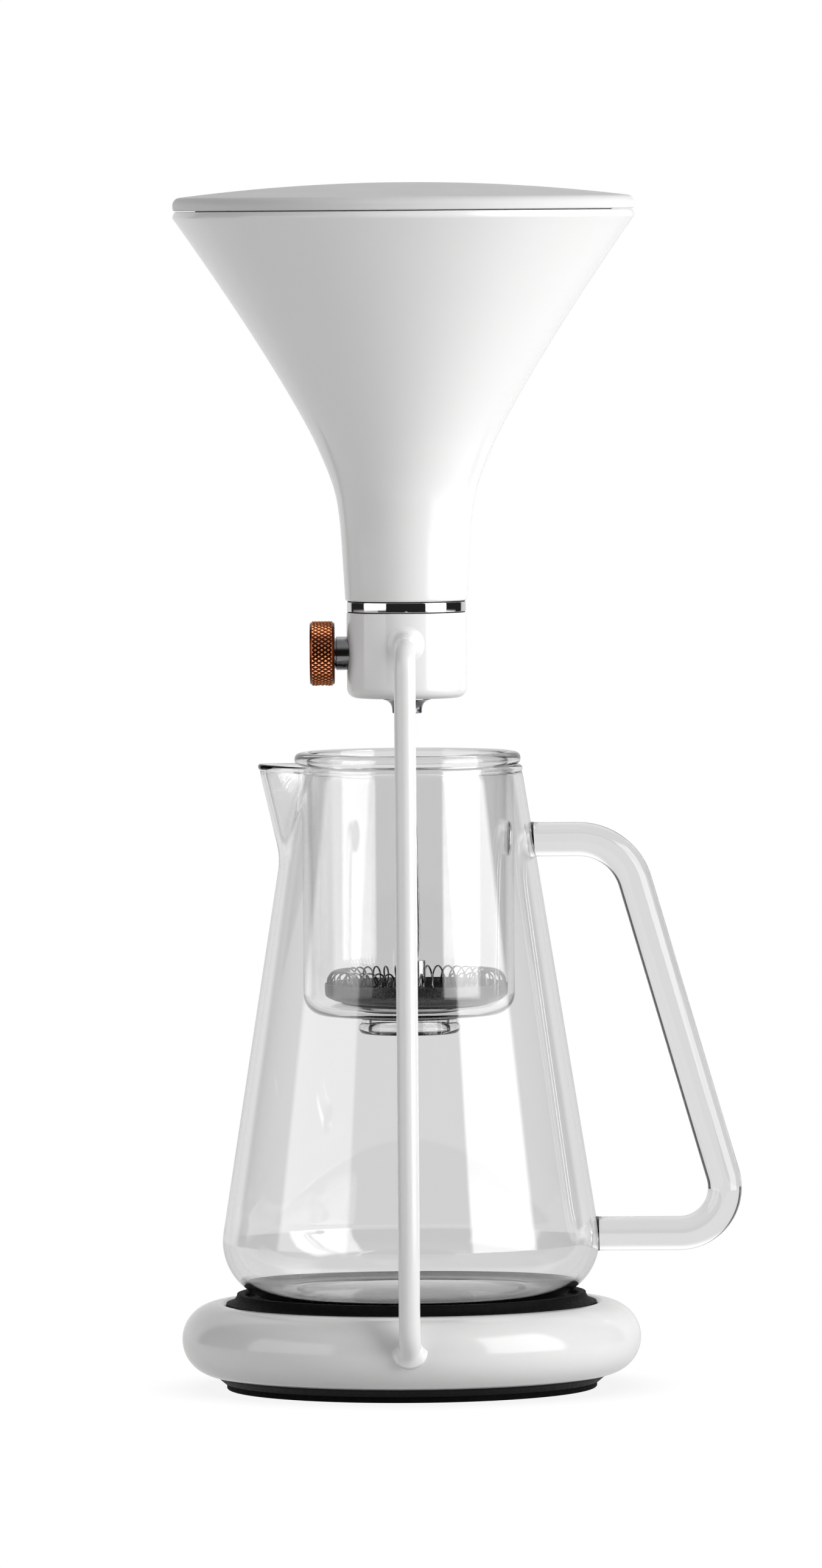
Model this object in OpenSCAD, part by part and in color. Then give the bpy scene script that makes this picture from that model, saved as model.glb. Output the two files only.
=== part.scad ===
// Pour-over coffee maker: a weighted base with a bent arm that holds a needle valve
// and a lidded funnel above a glass carafe with a glass drip chamber in its mouth.
// Millimetres, +Z up, origin at the middle of the underside, arm at -Y, handle at +X.

/* [Base] */
// Radius of the base ring at its widest
base_r = 75.6; // [75.4:0.1:76]
// Radius of the base ring's rounded section
base_edge_r = 11.9; // [11.8:0.1:12]
// Height of the middle of the base ring
base_mid_z = 16.4; // [16.3:0.1:16.5]
// Wall thickness of the enamelled base ring
base_wall = 2.2; // [2:0.1:2.4]
// Thickness of the rubber sheet under the base
foot_h = 2; // [1.8:0.1:2.2]
// Radius of the rubber sheet under the base
foot_r = 61; // [60.8:0.1:61.2]

/* [Carafe mat] */
// Thickness of the mat under the carafe
mat_h = 3; // [2.8:0.1:3.1]
// Inside radius of the mat's raised rim
mat_rim_r = 54.8; // [54.4:0.1:55]
// Height of the raised rim above the mat's floor
mat_rim_h = 2.2; // [1.8:0.1:2.2]

/* [Arm] */
// Diameter of the bent arm
arm_d = 7; // [6.6:0.1:7.2]
// Distance of the upright from the middle of the base
arm_reach = 80; // [79.5:0.1:82]
// Height of the arm's upper leg
arm_top_z = 242.6; // [242:0.1:243]
// Bend radius of the arm's two elbows, on its centre line
arm_bend_r = 8; // [7:0.5:10]

/* [Valve] */
// Radius of the valve housing
collar_r = 19.7; // [19.6:0.1:20]
// Height of the housing's underside
collar_z0 = 227.4; // [227.2:0.1:227.6]
// Height of the housing's upper edge
collar_z1 = 255.6; // [255.4:0.1:255.7]
// Wall thickness of the valve housing
collar_wall = 2.3; // [2.2:0.1:2.4]
// Height of the control knob's axis
knob_z = 242.2; // [242:0.1:242.4]
// Radius of the control knob
knob_r = 10.7; // [10:0.1:11.5]
// Width of the control knob
knob_w = 8.1; // [7.5:0.1:9]
// Radius of the stem between knob and housing
stem_r = 5.5; // [5:0.1:5.5]
// Bore of the outlet nozzle
nozzle_bore = 6; // [5:0.5:7]

/* [Funnel] */
// Height of the funnel's rim
funnel_top_z = 387.6; // [387.4:0.1:387.7]
// Thickness of the funnel's wall, measured level
funnel_wall = 4.6; // [4:0.1:4.8]
// Height of the lid's crown
lid_top_z = 396.9; // [396.5:0.1:397.5]
// Radius of the lid at its widest
lid_r = 75.9; // [75.8:0.1:76]

/* [Carafe] */
// Radius of the carafe's flat underside
carafe_foot_r = 42.7; // [42.5:0.1:42.8]
// Radius of the carafe's rounded lower corner
carafe_corner_r = 19.3; // [19.2:0.1:19.4]
// Half angle of the carafe's cone, in degrees
carafe_taper = 9; // [8.9:0.05:9.05]
// Height of the carafe's rim
carafe_rim_z = 205.3; // [205.2:0.1:205.3]
// Thickness of the carafe's glass
carafe_wall = 1.8; // [1.6:0.1:1.9]
// Diameter of the glass handle
handle_d = 11.2; // [10:0.1:11.5]

/* [Drip chamber] */
// Outside radius of the chamber's tube
chamber_r = 34.8; // [34.5:0.1:34.8]
// Thickness of the chamber's glass
chamber_wall = 1.8; // [1.6:0.1:1.8]
// Radius of the chamber's outlet neck
chamber_neck_r = 15.7; // [15:0.1:16]

/* [Filter] */
// Outside radius of the mesh cup
mesh_r = 30.2; // [30:0.1:30.2]
// Diameter of the coil spring's turns
spring_d = 8; // [7.5:0.1:8]
// Number of turns in the coil spring
spring_turns = 45; // [30:1:60]
// Diameter of the coil spring's wire
spring_wire = 0.7; // [0.6:0.1:0.8]

/* [Hidden] */

$fn = 96;
arc_steps = 10;    // straight stretches in a drawn arc
curve_steps = 16;  // straight stretches in a drawn curve
over = 1;          // how far a cut runs past the face that it opens
slip = 0.05;       // radial clearance of a running fit
play = 0.1;        // clearance between parts that are pushed together

white = "white";
black = [0.08, 0.08, 0.08];
steel = [0.72, 0.72, 0.74];
brass = [0.78, 0.62, 0.32];
copper = [0.72, 0.4, 0.25];
glass = [0.85, 0.9, 0.92, 0.35];

// Base levels
base_mid_r = base_r - base_edge_r;
cover_z = foot_h;
cover_t = 2.2;
cover_floor_z = cover_z + cover_t;
cover_r = 64.4;
cover_rim_z = 6.4;
cover_edge_r = 2.5;
cover_rim_t = 1.8;
weight_r = 58;
weight_z1 = 24.2;
flange_t = 2;
flange_z1 = weight_z1 + flange_t;
flange_r = 52;
lip_roll_r = 2;
lip_roll_in = 0.6;      // the lip's roll sits this far inside the edge's middle
lip_roll_x = base_mid_r - lip_roll_in;
lip_roll_z = base_mid_z + sqrt(pow(base_edge_r - lip_roll_r, 2) - pow(lip_roll_in, 2));
lip_turn = acos(-lip_roll_in / (base_edge_r - lip_roll_r));
lip_r = lip_roll_x - lip_roll_r;

// Mat levels
mat_z = flange_z1;
mat_floor_z = mat_z + mat_h;
mat_top_z = mat_floor_z + mat_rim_h;
mat_r = lip_r - play;
mat_edge_z = 28.2;
mat_flare_r = 3.6;
mat_rim_t = 2.6;

// Screws: each is [head radius, head height, shank radius]
cover_screw = [3.2, 1.8, 1.6];
shell_screw = [3.2, 1.8, 1.6];
cover_screw_circle = 30;
shell_screw_circle = 56.2;
screw_len = 10;
cover_screw_turn = 60;
set_screw_r = 2;
small_set_screw_r = 1.5;

// Arm
arm_r = arm_d / 2;
arm_low_z = 17.4;
arm_low_end = 38;
arm_top_end = 11;
arm_hole_r = arm_r + play;
top_flare_r = 2.9;
low_flare_r = 1.9;
flare_root = 2.5;
low_screw_y = 46;
top_screw_y = 14.4;
top_screw_len = 6;

// Valve
collar_floor = 2.5;
collar_corner_r = 3.5;
collar_in_r = collar_r - collar_wall;
body_r = collar_in_r - play;
body_z0 = collar_z0 + collar_floor;
gasket_t = 0.3;
gasket_r = 19.3;
gasket_in_r = 13;
ring_r = 19.55;
ring_z0 = collar_z1 + gasket_t;
ring_z1 = 259.1;
funnel_z0 = ring_z1 + gasket_t;
well_r = 10;
well_z = 249.6;
chamber_bore_r = 4.1;
chamber_end = 6;       // the bore for the stem ends this far from the axis
seat_r = 1.5;
outlet_top_z = 244;
inlet_r = 1.5;
inlet_x = 8;
gland_r = 7;
gland_t = 2.8;
gland_in = 13;
journal_r = chamber_bore_r - slip;
knob_face = 23.7;      // the knob's inner face is this far from the axis
journal_end = 18.2;
journal_tip = 9.2;
nose_r = 1;
nose_len = 1.2;
tip_point = 4;
tip_point_r = 0.5;
tip_back = 8;
tip_back_r = 2.4;
spigot_r = 3;
spigot_len = 6;
groove_depth = 1;
groove_w = 1.3;
groove_1 = 10;
groove_2 = 12.5;
stem_hole_r = stem_r + 0.4;
knob_edge = 0.9;
knob_screw_from_face = 4;

// Nozzle
nozzle_r0 = 4.9;
nozzle_r1 = 7.9;
nozzle_z0 = 222.4;
nozzle_flange_t = 0.8;
nozzle_tube_r = 5.2;
nozzle_top_z = 236;
o_ring_t = 1.4;

// Funnel outline: radius and height
funnel_corner_r = 0.9;
funnel_neck = [[20.1, funnel_z0 + funnel_corner_r], [22.1, 293.5], [21.2, 292.6], [29.3, 311.1]];
funnel_cone = [[29.3, 311.1], [29.4, 311.3], [39.2, 333.2], [75, funnel_top_z - 3.2]];
funnel_lip_r = 75.8;
funnel_lip_h = 2;      // height of the lip's band, and of the round edge above it
funnel_lip_edge = 1.2;
funnel_rim_r = 75.2;
funnel_rim_t = funnel_wall - 1;
neck_thin = 0.6;       // the wall is this much thinner in the neck, and half as much above it
neck_thin_z = 300;
funnel_floor_z = 264.5;
funnel_floor_r = 3;
funnel_bore = 8;
funnel_spigot_r = 8.5;
funnel_spigot_z = 250;
seal_z = 250.6;
seal_h = 5;
neck_in_r = funnel_neck[0][0] - funnel_wall + neck_thin;

// Lid
lid_z0 = funnel_top_z + 0.3;
lid_dome_r = 590;
lid_edge_r = 2.7;
lid_t = 3.6;
lid_rim_r = 68.4;
lid_rim_t = 2.8;
lid_rim_z = 383.9;

// Carafe
carafe_z = mat_floor_z;
carafe_corner_z = carafe_z + carafe_corner_r;
cone_z = carafe_corner_z + carafe_corner_r * sin(carafe_taper);
cone_r = carafe_foot_r + carafe_corner_r * cos(carafe_taper);
carafe_push = 1;       // how far the underside is pushed up in the middle
carafe_push_r = 34;
spout_z = 160;
spout_x = 33.3;
spout_r = 6.95;
spout_len = 50;
spout_flare = 0.2545;
spout_lean = 2.9;

// Handle: its lower corner on the centre line, and the way its long leg slants
handle_r = handle_d / 2;
handle_low = [108.5, 50.3];
slant = [0.28, -0.96];
handle_slant_len = 135.625;
handle_top_bend = 19.5;
handle_low_bend = 15;
handle_root = 30;

// Drip chamber
chamber_in_r = chamber_r - chamber_wall;
chamber_z = 123;
chamber_floor_z = chamber_z + 2.2;
chamber_corner_r = 7;
chamber_flange_r = 37.2;
chamber_flange_h = 4.5;
chamber_flange_z1 = carafe_rim_z + chamber_flange_h;
flange_round = 1.6;
neck_bore_r = 12.5;
neck_z0 = 116.8;
neck_bead_r = 1.9;
neck_bead_x = chamber_neck_r - 0.9;
neck_fillet = 1.5;

// Filter
filter_x = 2.4;        // the filter sits this far off the chamber's axis
mesh_t = 0.4;
mesh_corner_r = 4.3;
mesh_top_z = 133.3;
plate_r = 25;
plate_t = 1.4;
mesh_z = chamber_floor_z + plate_t;
washer_r = 9;
washer_t = 0.8;
washer_z = mesh_z + mesh_t;
nut_r = 3.1;
nut_top_z = 141;
rod_r = 0.5;
rod_top_z = 196.5;
rod_hole_r = rod_r + slip;
spring_mid_r = mesh_r - mesh_t - spring_d / 2 - 0.2;
spring_mid_z = 134;

function arc(x, z, r, from, to, steps = arc_steps) =
  [for (i = [0:steps]) let (a = from + (to - from) * i / steps) [x + r * cos(a), z + r * sin(a)]];

function bezier(p) =
  [for (i = [0:curve_steps]) let (t = i / curve_steps, s = 1 - t)
    s * s * s * p[0] + 3 * s * s * t * p[1] + 3 * s * t * t * p[2] + t * t * t * p[3]];

function reversed(list) = [for (i = [len(list) - 1:-1:0]) list[i]];

function cone_at(z) = cone_r - (z - cone_z) * tan(carafe_taper);

function dome_at(r) = lid_top_z - lid_dome_r + sqrt(lid_dome_r * lid_dome_r - r * r);

// Places a shape made along +Z so that it runs along -X from the axis, at the knob's height
module toward_knob(from) {
  translate([-from, 0, knob_z]) rotate([0, -90, 0]) children();
}

// Places a shape made along +Z so that it runs along -Y, towards the arm's upright
module toward_arm(from, z) {
  translate([0, -from, z]) rotate([90, 0, 0]) children();
}

module around(count, radius, turn = 0) {
  for (i = [0:count - 1]) rotate([0, 0, turn + i * 360 / count]) translate([radius, 0, 0]) children();
}

module ring(outer, inner, h) {
  difference() {
    cylinder(r = outer, h = h);
    translate([0, 0, -over]) cylinder(r = inner, h = h + 2 * over);
  }
}

module countersunk(size, len) {
  cylinder(r1 = size[0], r2 = size[2], h = size[1]);
  cylinder(r = size[2], h = len);
}

// ---- Base ----

module base_ring_solid() {
  rotate_extrude() translate([base_mid_r, base_mid_z]) circle(r = base_edge_r);
}

module base_shell() {
  in_edge_r = base_edge_r - base_wall;
  bottom_x = cover_r + play - base_mid_r;
  wall_x = lip_r + base_wall - base_mid_r;
  color(white) difference() {
    rotate_extrude() polygon(concat(
      arc(base_mid_r, base_mid_z, base_edge_r,
          -acos(bottom_x / base_edge_r), lip_turn, 2 * arc_steps),
      arc(lip_roll_x, lip_roll_z, lip_roll_r, lip_turn, 180),
      [[lip_r, flange_z1], [flange_r, flange_z1], [flange_r, weight_z1], [lip_r + base_wall, weight_z1]],
      arc(base_mid_r, base_mid_z, in_edge_r, acos(wall_x / in_edge_r), -acos(bottom_x / in_edge_r),
          2 * arc_steps)
    ));
    toward_arm(weight_r, arm_low_z) cylinder(r = arm_hole_r, h = arm_reach - weight_r);
    translate([0, 0, flange_z1]) around(3, shell_screw_circle) mirror([0, 0, 1]) screw_hole(shell_screw);
  }
}

module screw_hole(size) {
  translate([0, 0, -over]) cylinder(r = size[0], h = over);
  countersunk(size, screw_len);
}

module base_weight() {
  color([0.25, 0.25, 0.26]) difference() {
    translate([0, 0, cover_floor_z]) cylinder(r = weight_r, h = weight_z1 - cover_floor_z);
    toward_arm(arm_low_end, arm_low_z) cylinder(r = arm_hole_r, h = weight_r);
    translate([0, 0, flange_z1]) around(3, shell_screw_circle) mirror([0, 0, 1]) screw_hole(shell_screw);
    translate([0, 0, cover_z]) around(3, cover_screw_circle, cover_screw_turn) screw_hole(cover_screw);
    translate([0, -low_screw_y, 0]) cylinder(r = set_screw_r, h = arm_low_z);
  }
}

module base_cover() {
  color(black) difference() {
    rotate_extrude() polygon(concat(
      [[0, cover_z], [foot_r, cover_z]],
      arc(cover_r - cover_edge_r, cover_z + cover_edge_r, cover_edge_r, -80, 0),
      [[cover_r, cover_rim_z], [cover_r - cover_rim_t, cover_rim_z], [cover_r - cover_rim_t, cover_floor_z],
       [0, cover_floor_z]]
    ));
    translate([0, 0, cover_z]) around(3, cover_screw_circle, cover_screw_turn) screw_hole(cover_screw);
  }
}

module foot_sheet() {
  edge = 0.6;
  color(black) rotate_extrude() polygon(concat(
    [[0, 0]], arc(foot_r - edge, edge, edge, -90, 0), [[foot_r, foot_h], [0, foot_h]]
  ));
}

module cover_screws() {
  color(steel) translate([0, 0, cover_z]) around(3, cover_screw_circle, cover_screw_turn)
    countersunk(cover_screw, screw_len);
}

module shell_screws() {
  color(steel) translate([0, 0, flange_z1]) around(3, shell_screw_circle) mirror([0, 0, 1])
    countersunk(shell_screw, screw_len);
}

module carafe_mat() {
  flare_x = mat_rim_r + mat_rim_t + mat_flare_r;
  color(black) rotate_extrude() difference() {
    polygon([
      [0, mat_z], [mat_r, mat_z], [mat_r, mat_edge_z], [mat_r, mat_top_z],
      [mat_rim_r, mat_top_z], [mat_rim_r, mat_floor_z], [0, mat_floor_z]
    ]);
    translate([flare_x, mat_edge_z + mat_flare_r]) circle(r = mat_flare_r);
  }
}

// ---- Arm ----

// Solid of revolution that widens from the arm to its foot through a hollow curve
module arm_flare(from, z, fillet) {
  toward_arm(from, z) rotate_extrude() polygon(concat(
    [[0, -flare_root], [arm_r + fillet, -flare_root], [arm_r + fillet, 0]],
    reversed(arc(arm_r + fillet, fillet, fillet, 180, 270)),
    [[0, fillet]]
  ));
}

module arm_elbow(z, from) {
  translate([0, arm_bend_r - arm_reach, z]) rotate([0, -90, 0]) rotate([0, 0, from])
    rotate_extrude(angle = 90) translate([arm_bend_r, 0]) circle(r = arm_r);
}

module arm() {
  straight = arm_reach - arm_bend_r;
  color(white) {
    toward_arm(arm_top_end, arm_top_z) cylinder(r = arm_r, h = straight - arm_top_end);
    arm_elbow(arm_top_z - arm_bend_r, -90);
    translate([0, -arm_reach, arm_low_z + arm_bend_r])
      cylinder(r = arm_r, h = arm_top_z - arm_low_z - 2 * arm_bend_r);
    arm_elbow(arm_low_z + arm_bend_r, 180);
    toward_arm(arm_low_end, arm_low_z) cylinder(r = arm_r, h = straight - arm_low_end);
    difference() {
      arm_flare(collar_r, arm_top_z, top_flare_r);
      cylinder(r = collar_r, h = lid_top_z);
    }
    difference() {
      arm_flare(base_r, arm_low_z, low_flare_r);
      base_ring_solid();
    }
  }
}

module arm_screws() {
  low_len = arm_low_z - arm_r - cover_floor_z;
  color(steel) {
    translate([0, -low_screw_y, cover_floor_z]) cylinder(r = set_screw_r, h = low_len);
    translate([0, -top_screw_y, arm_top_z + arm_r]) cylinder(r = small_set_screw_r, h = top_screw_len);
  }
}

// ---- Valve ----

module collar() {
  color(white) difference() {
    rotate_extrude() polygon(concat(
      [[nozzle_tube_r, collar_z0]],
      arc(collar_r - collar_corner_r, collar_z0 + collar_corner_r, collar_corner_r, -90, 0),
      [[collar_r, collar_z1], [collar_in_r, collar_z1], [collar_in_r, body_z0], [nozzle_tube_r, body_z0]]
    ));
    toward_knob(body_r - over) cylinder(r = stem_hole_r, h = collar_wall + 2 * over);
    toward_arm(body_r - over, arm_top_z) cylinder(r = arm_hole_r, h = collar_wall + 2 * over);
  }
}

module collar_gasket() {
  color(black) translate([0, 0, collar_z1]) ring(gasket_r, gasket_in_r, gasket_t);
}

module collar_ring() {
  color(steel) translate([0, 0, ring_z0]) ring(ring_r, gasket_in_r, ring_z1 - ring_z0);
}

module funnel_gasket() {
  color(black) translate([0, 0, ring_z1]) ring(gasket_r, gasket_in_r, gasket_t);
}

module valve_body() {
  color(brass) difference() {
    translate([0, 0, body_z0]) cylinder(r = body_r, h = collar_z1 - body_z0);
    translate([0, 0, well_z]) cylinder(r = well_r, h = collar_z1);
    translate([-inlet_x, 0, knob_z]) cylinder(r = inlet_r, h = collar_z1 - knob_z);
    toward_knob(chamber_end) cylinder(r = chamber_bore_r, h = collar_r);
    toward_knob(gland_in) cylinder(r = gland_r, h = collar_r);
    toward_knob(0) cylinder(r = seat_r, h = collar_r);
    translate([0, 0, body_z0 - over]) cylinder(r = nozzle_bore / 2, h = outlet_top_z - body_z0 + over);
    translate([0, 0, body_z0 - over]) cylinder(r = nozzle_tube_r, h = nozzle_top_z - body_z0 + over);
    translate([0, 0, body_z0 - over]) cylinder(r = nozzle_tube_r + o_ring_t, h = o_ring_t + over);
    toward_arm(arm_top_end, arm_top_z) cylinder(r = arm_hole_r, h = collar_r);
    translate([0, -top_screw_y, arm_top_z]) cylinder(r = small_set_screw_r, h = collar_r);
  }
}

module gland_nut() {
  color(steel) toward_knob(gland_in) ring(gland_r, chamber_bore_r, gland_t);
}

module outlet_nozzle() {
  flare_h = collar_z0 - nozzle_z0 - nozzle_flange_t;
  flare_w = nozzle_r1 - nozzle_r0;
  color(steel) rotate_extrude() polygon(concat(
    [[nozzle_bore / 2, nozzle_z0]],
    [for (i = [0:arc_steps]) let (a = 90 * i / arc_steps)
      [nozzle_r0 + flare_w * (1 - cos(a)), nozzle_z0 + flare_h * sin(a)]],
    [[nozzle_r1, collar_z0], [nozzle_tube_r, collar_z0], [nozzle_tube_r, nozzle_top_z],
     [nozzle_bore / 2, nozzle_top_z]]
  ));
}

module nozzle_o_ring() {
  color(black) translate([0, 0, body_z0]) rotate_extrude()
    translate([nozzle_tube_r + o_ring_t / 2, o_ring_t / 2]) circle(r = o_ring_t / 2);
}

// Cone that closes the seat; it doesn't turn with the stem
module valve_tip() {
  color(white) difference() {
    union() {
      toward_knob(tip_point) cylinder(r1 = tip_point_r, r2 = tip_back_r, h = tip_back - tip_point);
      toward_knob(tip_back) cylinder(r = tip_back_r, h = journal_tip - tip_back);
    }
    toward_knob(journal_tip - nose_len) cylinder(r = nose_r + slip, h = nose_len + over);
  }
}

module knob_stem() {
  color(steel) difference() {
    union() {
      toward_knob(journal_tip + slip - nose_len) cylinder(r = nose_r, h = nose_len);
      toward_knob(journal_tip + slip) cylinder(r = journal_r, h = journal_end - journal_tip - slip);
      toward_knob(journal_end) cylinder(r = stem_r, h = knob_face - journal_end);
      toward_knob(knob_face) cylinder(r = spigot_r, h = spigot_len);
    }
    for (u = [groove_1, groove_2])
      toward_knob(u) ring(stem_r, journal_r - groove_depth, groove_w);
  }
}

module stem_o_rings() {
  section_r = (groove_depth + slip / 2) / 2;
  color(black) for (u = [groove_1, groove_2])
    toward_knob(u + groove_w / 2) rotate_extrude()
      translate([journal_r - groove_depth + section_r, 0]) circle(r = section_r);
}

module knob() {
  color(copper) difference() {
    union() {
      toward_knob(knob_face) cylinder(r1 = knob_r - knob_edge, r2 = knob_r, h = knob_edge);
      toward_knob(knob_face + knob_edge) cylinder(r = knob_r, h = knob_w - 2 * knob_edge);
      toward_knob(knob_face + knob_w - knob_edge)
        cylinder(r1 = knob_r, r2 = knob_r - knob_edge, h = knob_edge);
    }
    toward_knob(knob_face - over) cylinder(r = spigot_r, h = spigot_len + over);
    translate([-knob_face - knob_screw_from_face, 0, knob_z]) mirror([0, 0, 1])
      cylinder(r = small_set_screw_r, h = knob_r + over);
  }
}

module knob_set_screw() {
  color(steel) translate([-knob_face - knob_screw_from_face, 0, knob_z - spigot_r]) mirror([0, 0, 1])
    cylinder(r = small_set_screw_r, h = knob_r - spigot_r - 2 * over);
}

// ---- Funnel ----

function funnel_outline() = concat(
  arc(funnel_neck[0][0] - funnel_corner_r, funnel_z0 + funnel_corner_r, funnel_corner_r, -90, 0),
  bezier(funnel_neck),
  bezier(funnel_cone),
  [[funnel_lip_r, funnel_top_z - funnel_lip_h], [funnel_lip_r, funnel_top_z - funnel_lip_edge],
   [funnel_rim_r, funnel_top_z]]
);

function funnel_inner() = concat(
  [for (p = reversed(bezier(funnel_cone))) [p[0] - funnel_wall, p[1]]],
  [for (p = reversed(bezier(funnel_neck))) if (p[1] > funnel_floor_z + funnel_floor_r + over)
    [p[0] - funnel_wall + (p[1] < neck_thin_z ? neck_thin : neck_thin / 2), p[1]]],
  arc(neck_in_r - funnel_floor_r, funnel_floor_z + funnel_floor_r, funnel_floor_r, 0, -90)
);

module funnel() {
  color(white) rotate_extrude() polygon(concat(
    [[funnel_bore / 2, funnel_spigot_z], [funnel_spigot_r, funnel_spigot_z], [funnel_spigot_r, funnel_z0]],
    funnel_outline(),
    [[funnel_rim_r - funnel_rim_t, funnel_top_z]],
    funnel_inner(),
    [[funnel_bore / 2, funnel_floor_z]]
  ));
}

module funnel_seal() {
  color(black) translate([0, 0, seal_z]) ring(well_r - slip, funnel_spigot_r, seal_h);
}

module funnel_lid() {
  edge_x = lid_r - lid_edge_r;
  edge_z = dome_at(edge_x) - lid_edge_r;
  hollow_r = lid_rim_r - lid_rim_t;
  color(white) rotate_extrude() polygon(concat(
    [for (i = [0:arc_steps]) let (r = edge_x * i / arc_steps) [r, dome_at(r)]],
    arc(edge_x, edge_z, lid_edge_r, 90, 0),
    [[funnel_rim_r, lid_z0], [lid_rim_r, lid_z0], [lid_rim_r, lid_rim_z], [hollow_r, lid_rim_z]],
    [for (i = [arc_steps:-1:0]) let (r = hollow_r * i / arc_steps) [r, dome_at(r) - lid_t]]
  ));
}

// ---- Carafe ----

module carafe_solid(inset) {
  rotate_extrude() polygon(concat(
    [[0, carafe_z + inset]],
    arc(carafe_foot_r, carafe_corner_z, carafe_corner_r - inset, -90, carafe_taper, 2 * arc_steps),
    [[cone_at(carafe_rim_z) - inset, carafe_rim_z], [0, carafe_rim_z]]
  ));
}

module spout_solid(inset) {
  translate([-spout_x, 0, spout_z]) rotate([0, spout_lean, 0])
    cylinder(r1 = spout_r - inset, r2 = spout_r + spout_flare * spout_len - inset, h = spout_len);
}

module carafe_body() {
  color(glass) difference() {
    union() {
      carafe_solid(0);
      spout_solid(0);
    }
    carafe_solid(carafe_wall);
    translate([0, 0, carafe_rim_z - over]) cylinder(r = cone_at(carafe_rim_z) - carafe_wall, h = 2 * over);
    spout_solid(carafe_wall);
    translate([0, 0, carafe_rim_z]) cylinder(r = carafe_foot_r + carafe_corner_r, h = spout_len);
    translate([0, 0, carafe_z - over]) cylinder(r = carafe_push_r, h = carafe_push + over);
  }
}

// The handle's rod from a point of its centre line, along a direction
module handle_rod(from, along, len) {
  translate([from[0], 0, from[1]]) rotate([0, atan2(along[0], along[1]), 0]) cylinder(r = handle_r, h = len);
}

// The part of a round bend about mid that lies inside an outline drawn from mid
module handle_elbow(mid, radius, outline) {
  translate([mid[0], 0, mid[1]]) rotate([90, 0, 0]) intersection() {
    rotate_extrude() translate([radius, 0]) circle(r = handle_r);
    translate([0, 0, -handle_d]) linear_extrude(height = 2 * handle_d) polygon(outline);
  }
}

module carafe_handle() {
  reach = 2 * handle_low_bend;
  lean = [-slant[1], slant[0]] * reach;
  top_cut = handle_top_bend * (1 - slant[0]) / -slant[1];
  low_cut = handle_low_bend * (1 + slant[0]) / -slant[1];
  handle_top = handle_low - slant * handle_slant_len;
  top_mid = [handle_top[0] - top_cut, handle_top[1] - handle_top_bend];
  low_mid = [handle_low[0] - low_cut, handle_low[1] + handle_low_bend];
  color(glass) difference() {
    union() {
      handle_rod([handle_root, handle_top[1]], [1, 0], top_mid[0] - handle_root);
      handle_elbow(top_mid, handle_top_bend, [[0, 0], lean, [reach, reach], [0, reach]]);
      handle_rod(handle_top + slant * top_cut, slant, handle_slant_len - top_cut - low_cut);
      handle_elbow(low_mid, handle_low_bend, [[0, 0], [0, -reach], [reach, -reach], [reach, 0], lean]);
      handle_rod([handle_root, handle_low[1]], [1, 0], low_mid[0] - handle_root);
    }
    carafe_solid(0);
  }
}

// ---- Drip chamber ----

module drip_chamber() {
  corner_x = chamber_r - chamber_corner_r;
  in_corner_r = chamber_in_r - corner_x;
  fillet_x = chamber_neck_r + neck_fillet;
  bead_z = neck_z0 + neck_bead_r;
  color(glass) rotate_extrude() polygon(concat(
    [[neck_bore_r, neck_z0]],
    arc(neck_bead_x, bead_z, neck_bead_r, -90, 60),
    arc(fillet_x, chamber_z - neck_fillet, neck_fillet, 180, 90),
    arc(corner_x, chamber_z + chamber_corner_r, chamber_corner_r, -90, 0),
    [[chamber_r, carafe_rim_z]],
    arc(chamber_flange_r - flange_round, carafe_rim_z + flange_round, flange_round, -90, 0),
    arc(chamber_flange_r - flange_round, chamber_flange_z1 - flange_round, flange_round, 0, 90),
    [[chamber_in_r, chamber_flange_z1]],
    arc(corner_x, chamber_floor_z + in_corner_r, in_corner_r, 0, -90),
    [[neck_bore_r, chamber_floor_z]]
  ));
}

// ---- Filter ----

module filter_mesh() {
  corner_x = mesh_r - mesh_corner_r;
  corner_z = mesh_z + mesh_corner_r;
  color(steel) translate([filter_x, 0, 0]) rotate_extrude() polygon(concat(
    [[rod_hole_r, mesh_z]],
    arc(corner_x, corner_z, mesh_corner_r, -90, 0),
    [[mesh_r, mesh_top_z], [mesh_r - mesh_t, mesh_top_z]],
    arc(corner_x, corner_z, mesh_corner_r - mesh_t, 0, -90),
    [[rod_hole_r, mesh_z + mesh_t]]
  ));
}

module filter_plate() {
  color(black) translate([filter_x, 0, chamber_floor_z]) ring(plate_r, rod_hole_r, plate_t);
}

module filter_washer() {
  color(steel) translate([filter_x, 0, washer_z]) ring(washer_r, rod_hole_r, washer_t);
}

module filter_nut() {
  z = washer_z + washer_t;
  color(steel) translate([filter_x, 0, z]) ring(nut_r, rod_hole_r, nut_top_z - z);
}

module filter_rod() {
  color(steel) translate([filter_x, 0, chamber_floor_z]) cylinder(r = rod_r, h = rod_top_z - chamber_floor_z);
}

// The coil's turns, drawn as one closed wire ring each
module filter_spring() {
  color(steel) translate([filter_x, 0, spring_mid_z]) around(spring_turns, spring_mid_r)
    rotate([90, 0, 0]) rotate_extrude() translate([(spring_d - spring_wire) / 2, 0])
      circle(r = spring_wire / 2);
}

base_shell();
base_cover();
foot_sheet();
base_weight();
carafe_mat();
cover_screws();
shell_screws();
arm();
arm_screws();
collar();
collar_gasket();
collar_ring();
funnel_gasket();
valve_body();
gland_nut();
outlet_nozzle();
nozzle_o_ring();
valve_tip();
knob_stem();
stem_o_rings();
knob();
knob_set_screw();
funnel();
funnel_seal();
funnel_lid();
carafe_body();
carafe_handle();
drip_chamber();
filter_mesh();
filter_plate();
filter_washer();
filter_nut();
filter_rod();
filter_spring();
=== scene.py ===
import math

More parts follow.
